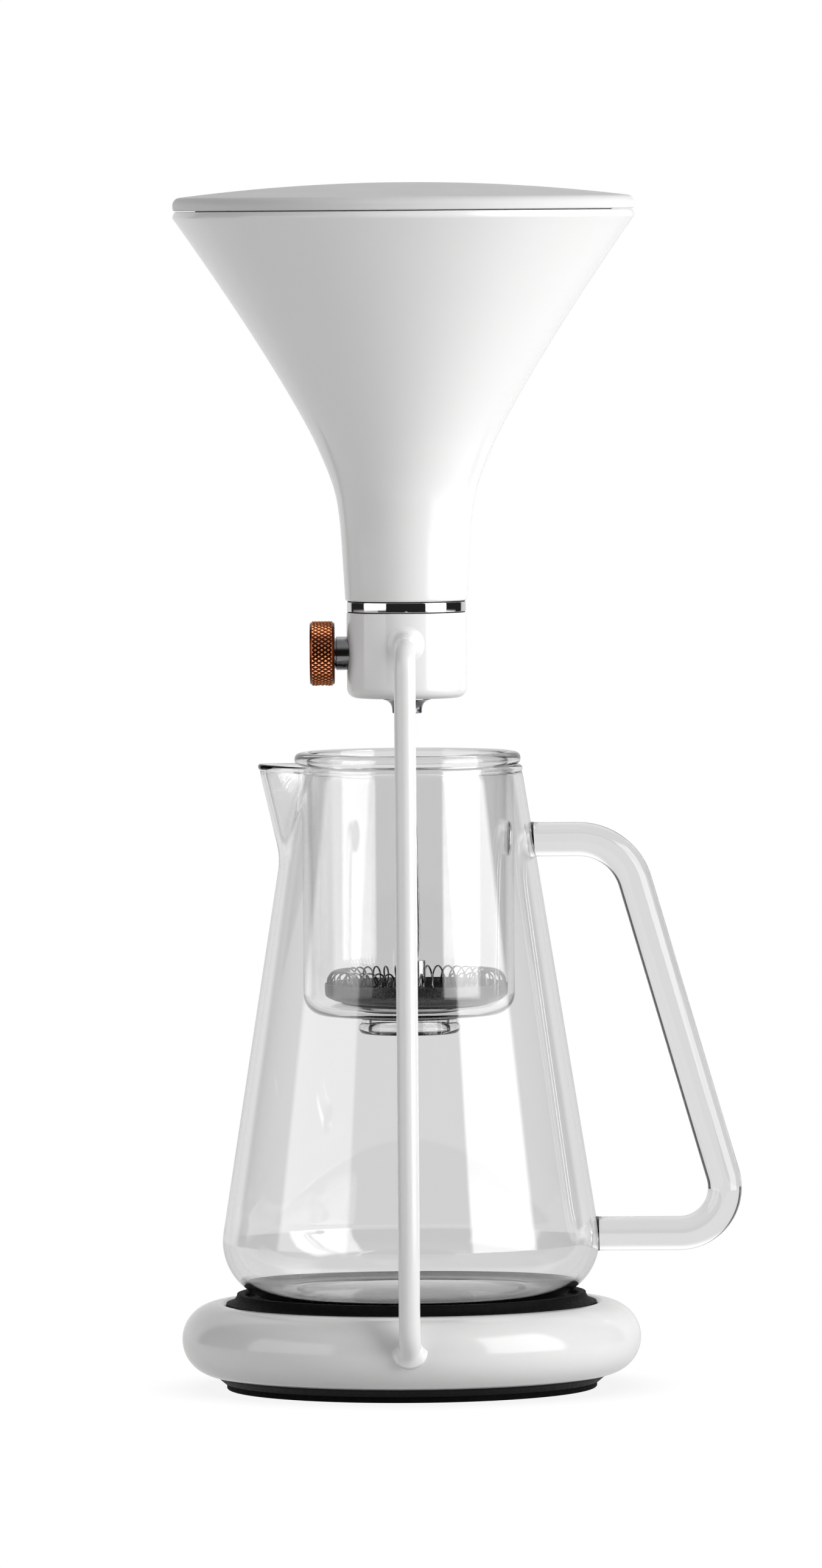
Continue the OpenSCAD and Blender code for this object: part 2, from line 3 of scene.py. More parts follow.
import bmesh
import bpy
import numpy as np
from mathutils import Matrix, Vector


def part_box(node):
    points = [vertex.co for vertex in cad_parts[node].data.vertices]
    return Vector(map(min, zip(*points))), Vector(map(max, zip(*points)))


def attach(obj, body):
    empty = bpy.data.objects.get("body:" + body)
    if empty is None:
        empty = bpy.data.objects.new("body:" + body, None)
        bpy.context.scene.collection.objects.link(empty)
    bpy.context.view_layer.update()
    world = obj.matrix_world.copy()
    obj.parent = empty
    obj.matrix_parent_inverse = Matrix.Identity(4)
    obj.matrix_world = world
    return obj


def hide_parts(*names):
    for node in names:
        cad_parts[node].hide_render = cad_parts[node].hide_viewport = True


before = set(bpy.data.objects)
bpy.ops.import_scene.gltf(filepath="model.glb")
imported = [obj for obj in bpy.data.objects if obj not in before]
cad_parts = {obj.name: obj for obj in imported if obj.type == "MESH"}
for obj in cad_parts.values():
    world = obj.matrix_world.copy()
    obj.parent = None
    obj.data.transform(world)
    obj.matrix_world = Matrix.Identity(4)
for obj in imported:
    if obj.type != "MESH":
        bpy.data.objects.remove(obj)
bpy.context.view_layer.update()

# Lengths in this script are millimetres and angles degrees, until a mesh is made in metres.
MM = 0.001
SHARP_ANGLE = 32  # faces that meet at more than this keep a crisp edge
TINY = 1e-6  # a length that counts as nought


def low(node):
    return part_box(node)[0] / MM


def high(node):
    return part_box(node)[1] / MM


# ---- Outlines and meshes ----


def arc(x, z, radius, start, end, steps=12):
    """Points round a circle's centre, from one angle to another."""
    angles = np.radians(np.linspace(start, end, steps + 1))
    return [(x + radius * math.cos(a), z + radius * math.sin(a)) for a in angles]


def bezier(points, steps=40):
    p = [Vector(q) for q in points]
    out = []
    for t in np.linspace(0, 1, steps + 1):
        s = 1 - t
        out.append(tuple(s**3 * p[0] + 3 * s * s * t * p[1] + 3 * s * t * t * p[2] + t**3 * p[3]))
    return out


def rounded(corners, steps=7, closed=True):
    """The corners as points. A corner with a third number is rounded to that radius."""
    out = []
    for i, corner in enumerate(corners):
        p = Vector(corner[:2])
        at_end = not closed and i in (0, len(corners) - 1)
        if len(corner) < 3 or at_end:
            out.append(tuple(p))
            continue
        a = (Vector(corners[i - 1][:2]) - p).normalized()
        b = (Vector(corners[(i + 1) % len(corners)][:2]) - p).normalized()
        half = a.angle(b) / 2
        centre = p + (a + b).normalized() * (corner[2] / math.sin(half))
        start = p + a * (corner[2] / math.tan(half)) - centre
        end = p + b * (corner[2] / math.tan(half)) - centre
        turn = start.angle_signed(end)
        for k in range(steps + 1):
            spoke = start.copy()
            spoke.rotate(Matrix.Rotation(-turn * k / steps, 2))
            out.append(tuple(centre + spoke))
    return out


def make_piece(name, points, faces, sharp=SHARP_ANGLE):
    """A smooth-shaded object from points in millimetres, with its faces turned outwards."""
    mesh = bpy.data.meshes.new(name)
    mesh.from_pydata((np.asarray(points, float) * MM).tolist(), [], faces)
    bm = bmesh.new()
    bm.from_mesh(mesh)
    bmesh.ops.recalc_face_normals(bm, faces=bm.faces)
    bm.to_mesh(mesh)
    bm.free()
    obj = bpy.data.objects.new(name, mesh)
    bpy.context.scene.collection.objects.link(obj)
    smooth(obj, sharp)
    return obj


def smooth(obj, sharp=SHARP_ANGLE):
    obj.data.shade_smooth()
    obj.data.set_sharp_from_angle(angle=math.radians(sharp))


def lathe(name, outline, sides=192, shape=None, axis=None, sharp=SHARP_ANGLE):
    """A closed outline of (radius, height) turned about the Z axis, or about a matrix's own Z.

    shape(points) may move the finished points, which it gets as an array.
    """
    points, rings, faces = [], [], []
    turns = np.linspace(0, 2 * math.pi, sides, endpoint=False)
    for radius, height in outline:
        first = len(points)
        if radius < TINY:
            points.append((0, 0, height))
            rings.append([first] * sides)
        else:
            points.extend((radius * math.cos(a), radius * math.sin(a), height) for a in turns)
            rings.append(list(range(first, first + sides)))
    for a, b in zip(rings, rings[1:] + rings[:1]):
        if a[0] == a[1] and b[0] == b[1]:
            continue
        for i in range(sides):
            j = (i + 1) % sides
            corners = [a[i], b[i], b[j], a[j]]
            faces.append(list(dict.fromkeys(corners)))
    points = np.array(points, float)
    if shape:
        points = shape(points)
    if axis is not None:
        spin = np.array(axis.to_3x3())
        points = points @ spin.T + np.array(axis.translation)
    return make_piece(name, points, faces, sharp)


def tube(name, centres, radii, sides=48, closed=False, inward=None):
    """A round bar along a path. inward gives each ring's reference direction; else it is carried along."""
    centres = np.array(centres, float)
    count = len(centres)
    if closed:
        along = np.roll(centres, -1, 0) - np.roll(centres, 1, 0)
    else:
        along = np.gradient(centres, axis=0)
    along /= np.linalg.norm(along, axis=1)[:, None]
    radii = np.broadcast_to(radii, count)
    turns = np.linspace(0, 2 * math.pi, sides, endpoint=False)
    points, faces = [], []
    side = None
    for k in range(count):
        t = along[k]
        if inward is not None:
            side = np.array(inward[k], float)
        elif side is None:
            side = np.array((0, 1, 0)) if abs(t[1]) < 0.9 else np.array((1, 0, 0))
        side = side - t * side.dot(t)
        side /= np.linalg.norm(side)
        other = np.cross(t, side)
        for a in turns:
            points.append(centres[k] + radii[k] * (math.cos(a) * side + math.sin(a) * other))
    for k in range(count if closed else count - 1):
        a, b = k * sides, (k + 1) % count * sides
        for i in range(sides):
            j = (i + 1) % sides
            faces.append([a + i, b + i, b + j, a + j])
    if not closed:
        faces.append(list(range(sides)))
        faces.append(list(range((count - 1) * sides, count * sides)))
    return make_piece(name, points, faces)


def bent_path(corners, bends, step=1.0, bend_steps=16):
    """A path of straight runs with a round bend of the given radius at each inner corner."""
    corners = [Vector(c) for c in corners]
    out = []

    def run(a, b):
        n = max(1, int((b - a).length / step))
        out.extend(a.lerp(b, i / n) for i in range(n))

    here = corners[0]
    for before, corner, after, bend in zip(corners, corners[1:], corners[2:], bends):
        a, b = (before - corner).normalized(), (after - corner).normalized()
        half = a.angle(b) / 2
        cut = bend / math.tan(half)
        centre = corner + (a + b).normalized() * (bend / math.sin(half))
        run(here, corner + a * cut)
        first, last = corner + a * cut - centre, corner + b * cut - centre
        turn = first.angle(last)
        for i in range(bend_steps):
            t = i / bend_steps
            spoke = first * math.sin((1 - t) * turn) + last * math.sin(t * turn)
            out.append(centre + spoke / math.sin(turn))
        here = corner + b * cut
    run(here, corners[-1])
    out.append(corners[-1])
    return np.array([tuple(p) for p in out])


def boolean(obj, tool, operation):
    """Joins tool to obj or cuts it away, and deletes tool."""
    step = obj.modifiers.new(operation, "BOOLEAN")
    step.operation = operation
    step.object = tool
    step.solver = "EXACT"
    graph = bpy.context.evaluated_depsgraph_get()
    mesh = bpy.data.meshes.new_from_object(obj.evaluated_get(graph))
    obj.modifiers.clear()
    obj.data = mesh
    bpy.data.objects.remove(tool)
    smooth(obj)


def place(obj, body, slot, material, *nodes):
    """Gives a finished piece its material and its body, and hides the CAD nodes that it stands for."""
    obj.data.materials.clear()
    obj.data.materials.append(material)
    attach(obj, body)
    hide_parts(*nodes)


# ---- Materials ----


class Nodes:
    """Short ways to add nodes to a shader tree."""

    def __init__(self, tree):
        self.tree = tree

    def link(self, output, socket):
        self.tree.links.new(output, socket)

    def node(self, kind, **settings):
        node = self.tree.nodes.new(kind)
        for key, value in settings.items():
            setattr(node, key, value)
        return node

    def maths(self, operation, *values):
        node = self.node("ShaderNodeMath", operation=operation)
        for socket, value in zip(node.inputs, values):
            if hasattr(value, "is_output"):
                self.link(value, socket)
            else:
                socket.default_value = value
        return node.outputs[0]

    def between(self, value, start, end, out_start, out_end, smoothly=False):
        node = self.node("ShaderNodeMapRange")
        if smoothly:
            node.interpolation_type = "SMOOTHSTEP"
        self.link(value, node.inputs["Value"])
        names = ("From Min", "From Max", "To Min", "To Max")
        for name, number in zip(names, (start, end, out_start, out_end)):
            node.inputs[name].default_value = number
        return node.outputs["Result"]


class Surface(Nodes):
    """A Principled material, driven by patterns in the piece's own metres."""

    def __init__(self, name, colour, rough, metal=0.0, **sockets):
        self.material = bpy.data.materials.new(name)
        self.material.use_nodes = True
        super().__init__(self.material.node_tree)
        self.shader = self.tree.nodes["Principled BSDF"]
        self.set("Base Color", (*colour, 1))
        self.set("Roughness", rough)
        self.set("Metallic", metal)
        for socket, value in sockets.items():
            self.set(socket.replace("_", " "), value)
        self.spots = self.node("ShaderNodeTexCoord").outputs["Object"]

    def set(self, socket, value):
        self.shader.inputs[socket].default_value = value

    def stretched(self, scale):
        mapping = self.node("ShaderNodeMapping")
        mapping.inputs["Scale"].default_value = scale
        self.link(self.spots, mapping.inputs["Vector"])
        return mapping.outputs[0]

    def noise(self, size_mm, detail=3.0, stretch=(1, 1, 1)):
        noise = self.node("ShaderNodeTexNoise")
        self.link(self.stretched(stretch), noise.inputs["Vector"])
        noise.inputs["Scale"].default_value = 1 / (size_mm * MM)
        noise.inputs["Detail"].default_value = detail
        return noise.outputs[0]

    def mix_colour(self, value, first, second):
        node = self.node("ShaderNodeMix", data_type="RGBA")
        colours = [s for s in node.inputs if s.type == "RGBA"]
        self.link(value, node.inputs[0])
        colours[0].default_value = (*first, 1)
        colours[1].default_value = (*second, 1)
        self.link([o for o in node.outputs if o.type == "RGBA"][0], self.shader.inputs["Base Color"])

    def roughen(self, value, least, most):
        self.link(self.between(value, 0.3, 0.7, least, most), self.shader.inputs["Roughness"])

    def bump(self, value, depth_mm, strength=1.0):
        node = self.node("ShaderNodeBump")
        node.inputs["Distance"].default_value = depth_mm * MM
        node.inputs["Strength"].default_value = strength
        self.link(value, node.inputs["Height"])
        self.link(node.outputs[0], self.shader.inputs["Normal"])


def enamel(name, colour=(0.86, 0.86, 0.855)):
    """Thick white gloss with a faint orange-peel skin and a few dull patches."""
    s = Surface(name, colour, 0.12, Coat_Weight=0.2, Coat_Roughness=0.03, Specular_IOR_Level=0.35)
    s.mix_colour(s.between(s.noise(26), 0.35, 0.65, 0, 1), colour, tuple(c * 0.985 for c in colour))
    s.roughen(s.noise(9), 0.10, 0.16)
    s.bump(s.noise(2.6, 1.0), 0.004)
    return s.material


def ceramic(name, rough=0.14, gloss=0.3, colour=(0.87, 0.87, 0.865)):
    """Glazed porcelain, a little softer than enamel. A low gloss gives a satin glaze."""
    s = Surface(name, colour, rough, Coat_Weight=gloss, Coat_Roughness=0.04, Specular_IOR_Level=gloss)
    s.mix_colour(s.between(s.noise(40), 0.35, 0.65, 0, 1), colour, tuple(c * 0.99 for c in colour))
    s.roughen(s.noise(14), rough * 0.8, rough * 1.2)
    s.bump(s.noise(5.5, 1.5), 0.008)
    return s.material


def black_rubber(name, rough=0.75, colour=(0.003, 0.003, 0.0032)):
    s = Surface(name, colour, rough, Specular_IOR_Level=0.06)
    s.mix_colour(s.between(s.noise(3), 0.4, 0.65, 0, 1), colour, tuple(c * 1.5 for c in colour))
    s.roughen(s.noise(1.2), rough - 0.08, rough + 0.1)
    s.bump(s.noise(0.25, 2.0), 0.012, 0.6)
    return s.material


def moulded_plastic(name, colour):
    s = Surface(name, colour, 0.42, Specular_IOR_Level=0.1)
    s.mix_colour(s.between(s.noise(8), 0.35, 0.65, 0, 1), colour, tuple(c * 0.9 for c in colour))
    s.roughen(s.noise(1.0), 0.5, 0.65)
    s.bump(s.noise(0.35, 1.5), 0.01)
    return s.material


def turned_metal(name, colour, rough, along=(1, 1, 1), groove=0.004):
    """Machined metal with fine tool marks. along is large across the marks."""
    s = Surface(name, colour, rough, metal=1.0)
    marks = s.noise(1.4, 3.0, along)
    s.mix_colour(s.between(marks, 0.3, 0.7, 0, 1), colour, tuple(c * 0.86 for c in colour))
    s.roughen(marks, rough * 0.7, rough * 1.4)
    s.bump(marks, groove)
    return s.material


def polished(name, colour, rough=0.035):
    s = Surface(name, colour, rough, metal=1.0)
    s.roughen(s.noise(4.0, 4.0, (1, 1, 6)), rough * 0.6, rough * 1.8)
    s.bump(s.noise(3.0, 1.0), 0.001)
    return s.material


def cast_metal(name, colour):
    s = Surface(name, colour, 0.7, metal=0.6)
    s.mix_colour(s.between(s.noise(2.0), 0.35, 0.65, 0, 1), colour, tuple(c * 0.6 for c in colour))
    s.roughen(s.noise(1.5), 0.6, 0.85)
    s.bump(s.noise(1.1, 4.0), 0.12)
    return s.material


def clear_glass(name, tint=0.98, wave=0.012):
    """Borosilicate with a slight grey cast and the faint waviness of blown glass."""
    s = Surface(name, (tint, tint * 1.001, tint), 0.0, Transmission_Weight=1.0, IOR=1.47)
    s.bump(s.noise(16, 1.0, (1, 1, 0.35)), wave)
    return s.material


def copper_knurl(name, centre_z):
    """Bright copper on the diamonds' tips, darkened to brown in the grooves between them by painted shade."""
    bright, dark = (0.97, 0.38, 0.17), (0.09, 0.015, 0.005)
    s = Surface(name, bright, 0.26, metal=1.0)
    parts = s.node("ShaderNodeSeparateXYZ")
    s.link(s.spots, parts.inputs[0])
    up = s.maths("SUBTRACT", parts.outputs["Z"], centre_z * MM)
    squares = s.maths("POWER", up, 2.0), s.maths("POWER", parts.outputs["Y"], 2.0)
    radius = s.maths("SQRT", s.maths("ADD", *squares))
    tip = KNOB_RADIUS * MM
    # Painted shade: the copper darkens towards the bottom of each groove.
    painted_groove_shade = s.between(radius, tip - 0.75 * KNURL_DEPTH * MM, tip - 0.05 * KNURL_DEPTH * MM, 0, 1)
    s.mix_colour(s.maths("MULTIPLY", painted_groove_shade, s.between(s.noise(1.5), 0.2, 0.8, 0.92, 1)), dark, bright)
    s.roughen(s.noise(0.6), 0.26, 0.32)
    s.bump(s.noise(0.3, 2.0), 0.002)
    return s.material


def woven_wire(name):
    s = Surface(name, (0.12, 0.12, 0.125), 0.34, metal=1.0)
    grain = s.noise(0.35, 2.0, (1, 1, 2))
    s.mix_colour(s.between(grain, 0.35, 0.65, 0, 1), (0.02, 0.02, 0.021), (0.14, 0.14, 0.144))
    s.roughen(grain, 0.28, 0.45)
    s.bump(s.noise(0.2, 1.0), 0.03)
    return s.material


KNOB_RADIUS = (high("knob") - low("knob")).z / 2
KNURL_DEPTH = 0.5

WHITE_ENAMEL = enamel("white_enamel")
WHITE_CERAMIC = ceramic("white_glaze")
# The lid's glaze: the funnel's white made darker as painted shade, with a low gloss for a satin finish.
SHADED_SATIN_CERAMIC = ceramic("shaded_satin_glaze", 0.5, 0.03, (0.74, 0.74, 0.736))
BLACK_PLASTIC = moulded_plastic("black_moulding", (0.005, 0.005, 0.0052))
BLACK_RUBBER = black_rubber("black_rubber")
BLACK_SILICONE = black_rubber("black_silicone", 0.62)
IRON = cast_metal("cast_iron", (0.2, 0.2, 0.21))
STEEL = turned_metal("turned_steel", (0.62, 0.62, 0.64), 0.22, (1, 1, 12))
STEM_STEEL = turned_metal("stem_steel", (0.3, 0.3, 0.31), 0.14, (40, 1, 1), 0.001)
DARK_STEEL = turned_metal("outlet_steel", (0.2, 0.2, 0.207), 0.16, (1, 1, 40), 0.001)
WIRE = polished("spring_wire", (0.13, 0.13, 0.134), 0.12)
CHROME = polished("chrome", (0.74, 0.74, 0.75))
BRASS = turned_metal("brass", (0.78, 0.56, 0.25), 0.25, (1, 1, 12))
WHITE_PLASTIC = moulded_plastic("white_seal", (0.85, 0.85, 0.83))
COPPER = copper_knurl("knurled_copper", (low("knob").z + high("knob").z) / 2)
CARAFE_GLASS = clear_glass("carafe_glass")
CHAMBER_GLASS = clear_glass("chamber_glass", 0.985, 0.008)
MESH = woven_wire("woven_mesh")


# ---- Stand ----

# The valve's axis, which points at the knob
KNOB_Z = (low("knob").z + high("knob").z) / 2
TOWARD_KNOB = Matrix.Translation((0, 0, KNOB_Z)) @ Matrix.Rotation(-math.pi / 2, 4, "Y")


def base_shell():
    r, top, bottom = high("base_shell").x, high("base_shell").z, low("base_shell").z
    z = (top + bottom) / 2
    section, roll, roll_in, wall, flange = top - z, 2.0, 0.6, 2.2, 52.0
    lip_turn = 93.5  # where the lip's small roll takes over
    x = r - section
    roll_x = x - roll_in
    inner, floor = roll_x - roll, low("carafe_mat").z
    outline = (
        arc(x, z, section, -85.8, lip_turn, 64)
        + arc(roll_x, z + section - roll, roll, lip_turn, 180, 14)
        + [(inner, floor + 0.2), (inner, floor)]
        + [(flange, floor), (flange, floor - 2), (inner + wall, floor - 2)]
        + arc(x, z, section - wall, 92.4, -84.5, 40)
    )
    place(lathe("base_shell_ring", outline, 256), "stand", "white_enamel", WHITE_ENAMEL, "base_shell")


def base_cover():
    r, z = high("base_cover").x, low("base_cover").z
    foot = high("foot_sheet").x
    outline = rounded([
        (0, z), (foot, z), (foot + 0.7, z, 0.3), (r, z + 2.3, 1.4), (r, z + 4.4, 0.3),
        (r - 1.8, z + 4.4, 0.3), (r - 1.8, z + 2.2), (0, z + 2.2),
    ])
    place(lathe("base_cover_dish", outline), "stand", "black_plastic", BLACK_PLASTIC, "base_cover")


def foot_sheet():
    r, top = high("foot_sheet").x, high("foot_sheet").z
    outline = rounded([(0, 0), (r, 0, 0.5), (r, top, 0.15), (0, top)])
    place(lathe("foot_sheet_disc", outline), "stand", "black_rubber", BLACK_RUBBER, "foot_sheet")


def carafe_mat():
    """Mat with a flared rim round the carafe and fine radial ribs on its floor."""
    r, top, z = high("carafe_mat").x, high("carafe_mat").z, low("carafe_mat").z
    floor, rim, edge, flare = z + 3.0, 54.8, 28.2, 3.6
    outer = rim + 2.6
    ribs, rib_depth, rib_in, rib_out = 220, 0.28, 26.0, 51.5
    outline = (
        [(0, z), (r, z), (r, edge)]
        + arc(outer + flare, edge + flare, flare, -90, -172, 14)
        + rounded([(outer, top - 0.9), (outer - 0.15, top, 0.8), (rim, top, 0.9), (rim, floor, 0.5),
                   (rib_out + 1, floor)], 8, closed=False)
        + [(x, floor) for x in np.linspace(rib_out, rib_in, 14)]
        + [(rib_in - 1.5, floor), (0, floor)]
    )

    def ribbed(points):
        radius = np.hypot(points[:, 0], points[:, 1])
        turn = np.arctan2(points[:, 1], points[:, 0])
        on = (np.abs(points[:, 2] - floor) < TINY) & (radius < rib_out - 0.1) & (radius > rib_in + 0.1)
        points[:, 2] -= on * rib_depth * (0.5 - 0.5 * np.cos(turn * ribs))
        return points

    mat = lathe("carafe_mat_ribbed", outline, ribs * 6, ribbed, sharp=60)
    place(mat, "stand", "black_silicone", BLACK_SILICONE, "carafe_mat")


def arm():
    """Bent rod whose ends widen into feet that follow the housing and the base ring."""
    radius, bend, step, bend_steps, sides = 3.5, 8.0, 0.2, 24, 64
    z_top, z_low, reach = high("arm").z - radius, 17.4, -low("arm").y - radius
    housing, ring = high("collar").x, high("base_shell").x
    ring_z = (high("base_shell").z + low("base_shell").z) / 2
    section = high("base_shell").z - ring_z
    hidden_top, hidden_low = 2, 4
    foot, foot_edge = 4.5, 3.5
    middle, elsewhere = 120, 99.0
    corners = [(hidden_top - housing, z_top), (-reach, z_top), (-reach, z_low), (hidden_low - ring, z_low)]
    path = bent_path([(0, y, z) for y, z in corners], (bend, bend), step, bend_steps)
    back, height = -path[:, 1], path[:, 2]

    def flare(distance, fillet):
        inside = np.clip(fillet - distance, 0, fillet)
        return fillet - np.sqrt(np.maximum(fillet * fillet - inside * inside, 0))

    def fading(value, start, length):
        """1 up to the start and 0 beyond the length after it."""
        return min(max(1 - (value - start) / length, 0), 1)

    top_foot = flare(np.where(height > middle, back - housing, elsewhere), 2.7)
    low_foot = flare(np.where(height < middle, back - ring, elsewhere), 2.3)
    bar = tube("arm_rod", path, radius + top_foot + low_foot, sides)
    for vertex in bar.data.vertices:
        x, y, z = vertex.co / MM
        if z > middle:
            skin, start, level = math.sqrt(housing**2 - x * x), housing, z_top
        else:
            rise = min(abs(z - ring_z), section)
            skin = math.sqrt((ring - section + math.sqrt(section**2 - rise**2)) ** 2 - x * x)
            start, level = ring, z_low
        near = fading(-y, start, foot) * fading(abs(z - level), foot, foot_edge)
        vertex.co.y += (start - skin) * near * near * (3 - 2 * near) * MM
    smooth(bar)
    place(bar, "stand", "white_enamel", WHITE_ENAMEL, "arm")


def collar():
    r, z0, z1 = high("collar").x, low("collar").z, high("collar").z
    hole = 5.2
    outline = rounded([
        (hole, z0), (12.5, z0, 6), (r, z0 + 0.15, 3.3), (r, z1, 0.35), (r - 2.3, z1), (r - 2.3, z0 + 2.5),
        (hole, z0 + 2.5),
    ], 14)
    housing = lathe("collar_housing", outline)
    port = rounded([(0, r - 4), (5.9, r - 4), (5.9, r + 2), (0, r + 2)])
    boolean(housing, lathe("stem_port", port, 64, axis=TOWARD_KNOB), "DIFFERENCE")
    place(housing, "stand", "white_enamel", WHITE_ENAMEL, "collar")


def thin_ring(node, body, slot, material, edge):
    r, z0, z1 = high(node).x, low(node).z, high(node).z
    inner = 13.0
    outline = rounded([(inner, z0), (r, z0, edge), (r, z1, edge), (inner, z1)], 5)
    place(lathe(node + "_turned", outline, 256), body, slot, material, node)


def outlet_nozzle():
    z0, z1 = low("outlet_nozzle").z, low("collar").z
    tip, foot, bore, tube_r = 4.9, high("outlet_nozzle").x, 3.0, 5.2
    h = z1 - z0
    outline = (
        [(bore, z0 + 0.3), (bore + 0.3, z0)]
        + rounded([(bore + 0.3, z0), (tip, z0, 0.25), (tip + 0.02, z0 + 1.0)], 4, closed=False)[1:]
        + bezier([(tip + 0.02, z0 + 1.0), (tip + 0.1, z0 + 0.62 * h),
                  (tip + 1.0, z0 + 0.8 * h), (foot, z1 - 0.5)])
        + [(foot, z1), (tube_r, z1), (tube_r, high("outlet_nozzle").z), (bore, high("outlet_nozzle").z)]
    )
    place(lathe("outlet_nozzle_turned", outline, 96), "stand", "steel", DARK_STEEL, "outlet_nozzle")


# ---- Knob ----


def knob():
    """Copper knob with real diamond knurling between two chamfers and a screw hole."""
    u0, u1 = -high("knob").x, -low("knob").x
    around, columns, fine = 44, 3, 10
    chamfer, screw_at = 0.8, 4.0
    band0, band1 = u0 + chamfer, u1 - chamfer
    pitch = (band1 - band0) / columns
    spigot, face = 3.0, 7.4
    shoulder, band_r = KNOB_RADIUS - chamfer, KNOB_RADIUS - 0.5 * KNURL_DEPTH
    outline = (
        rounded([(spigot, u0), (shoulder, u0, 0.15), (band_r, band0)], 3, closed=False)
        + [(KNOB_RADIUS, u) for u in np.linspace(band0, band1, columns * fine + 1)]
        + rounded([(band_r, band1), (shoulder, u1, 0.15), (face, u1), (face - 0.25, u1 - 0.25),
                   (0, u1 - 0.25)], 3, closed=False)
        + [(0, u0 + 6), (spigot, u0 + 6)]
    )

    def zigzag(v):
        return np.abs((v + 0.5) % 1 - 0.5) * 2

    def knurled(points):
        radius = np.hypot(points[:, 0], points[:, 1])
        turn = np.arctan2(points[:, 1], points[:, 0]) / (2 * math.pi) * around
        along = (points[:, 2] - band0) / pitch
        tip = np.minimum(zigzag(turn + along), zigzag(turn - along))
        on = np.abs(radius - KNOB_RADIUS) < TINY
        depth = KNURL_DEPTH * (1 - np.clip(tip * 1.1, 0, 1))
        scale = np.where(on, (radius - depth) / np.maximum(radius, TINY), 1)
        points[:, :2] *= scale[:, None]
        return points

    wheel = lathe("knob_knurled", outline, around * fine, knurled, TOWARD_KNOB, sharp=24)
    drill = rounded([(0, -KNOB_RADIUS - 1), (1.5, -KNOB_RADIUS - 1), (1.5, -spigot), (0, -spigot)])
    at = Matrix.Translation((-u0 - screw_at, 0, KNOB_Z))
    boolean(wheel, lathe("knob_drill", drill, 48, axis=at), "DIFFERENCE")
    smooth(wheel, 24)
    place(wheel, "knob", "copper", COPPER, "knob")


def knob_stem():
    u0, u1 = -high("knob_stem").x, -low("knob_stem").x
    neck0, neck1, neck = 18.2, -high("knob").x, 5.5
    journal, nose, spigot = 4.05, 1.0, 3.0
    outline = rounded([
        (0, u0), (nose, u0), (nose, u0 + 1.2), (journal, u0 + 1.2, 0.2), (journal, neck0), (neck, neck0, 0.3),
        (neck, neck1 - 0.6, 0.1), (neck - 0.45, neck1 - 0.5), (neck - 0.45, neck1), (spigot, neck1),
        (spigot, u1), (0, u1),
    ], 4)
    stem = lathe("knob_stem_turned", outline, 96, axis=TOWARD_KNOB)
    place(stem, "knob", "steel", STEM_STEEL, "knob_stem")


# ---- Funnel and lid ----


def funnel_side():
    """The funnel's outside from its lower corner to its lip: radius and height."""
    z0, top = low("funnel_gasket").z + 0.3, high("funnel").z
    neck = bezier([(20.1, z0 + 0.9), (22.1, 293.5), (21.2, 292.6), (29.3, 311.1)], 48)
    cone = bezier([(29.3, 311.1), (29.4, 311.3), (39.2, 333.2), (74.85, top - 3.55)], 64)
    return neck, cone


def funnel():
    z0, top, r = low("funnel_gasket").z + 0.3, high("funnel").z, high("funnel").x
    neck, cone = funnel_side()
    wall, bore, spigot, floor = 4.6, 4.0, 8.5, 264.5
    spigot_z = low("funnel").z
    lip = [cone[-1], (r + 0.28, top - 1.9, 1.1), (r - 0.55, top, 0.45), (r - 1.4, top)]
    lip = rounded(lip, 7, closed=False)
    # The neck's wall is thinner than the cone's, and thinnest at the bottom.
    inside = [(x - wall, z) for x, z in reversed(cone)]
    inside += [(x - wall + (0.6 if z < 300 else 0.3), z) for x, z in reversed(neck) if z > floor + 4]
    neck_in = inside[-1][0]
    outline = (
        [(bore, spigot_z), (spigot - 0.6, spigot_z), (spigot, spigot_z + 0.6), (spigot, z0)]
        + arc(19.2, z0 + 0.9, 0.9, -90, 0, 8)
        + neck[1:] + cone[1:] + lip[1:]
        + [(r - 4.2, top), (r - 4.9, top - 0.7)]
        + inside
        + arc(neck_in - 3, floor + 3, 3, 0, -90, 8)
        + [(bore, floor)]
    )
    bowl = lathe("funnel_bowl", outline, 256)
    place(bowl, "funnel", "white_ceramic", WHITE_CERAMIC, "funnel")


def funnel_lid():
    top, r, z0 = high("funnel_lid").z, high("funnel_lid").x, high("funnel").z + 0.3
    dome, edge, thick, rim, rim_z = 590.0, 2.7, 3.6, 68.4, low("funnel_lid").z
    rim_in = rim - 2.8
    edge_x = r - edge

    def drop(x):
        """The dome's height at a radius."""
        return top - dome + math.sqrt(dome * dome - x * x)

    outline = (
        [(x, drop(x)) for x in np.linspace(0, edge_x, 40)]
        + arc(edge_x, drop(edge_x) - edge, edge, 88, 0, 18)
        + rounded([(r, drop(edge_x) - edge), (r - 0.15, z0 + 0.25), (r - 0.8, z0, 0.4), (rim, z0),
                   (rim, rim_z, 0.6), (rim_in, rim_z, 0.6), (rim_in, drop(rim) - thick)], 6, closed=False)[1:]
        + [(x, drop(x) - thick) for x in np.linspace(rim - 4, 0, 20)]
    )
    place(lathe("funnel_lid_dome", outline, 256), "funnel_lid", "white_ceramic", SHADED_SATIN_CERAMIC, "funnel_lid")


# ---- Carafe ----


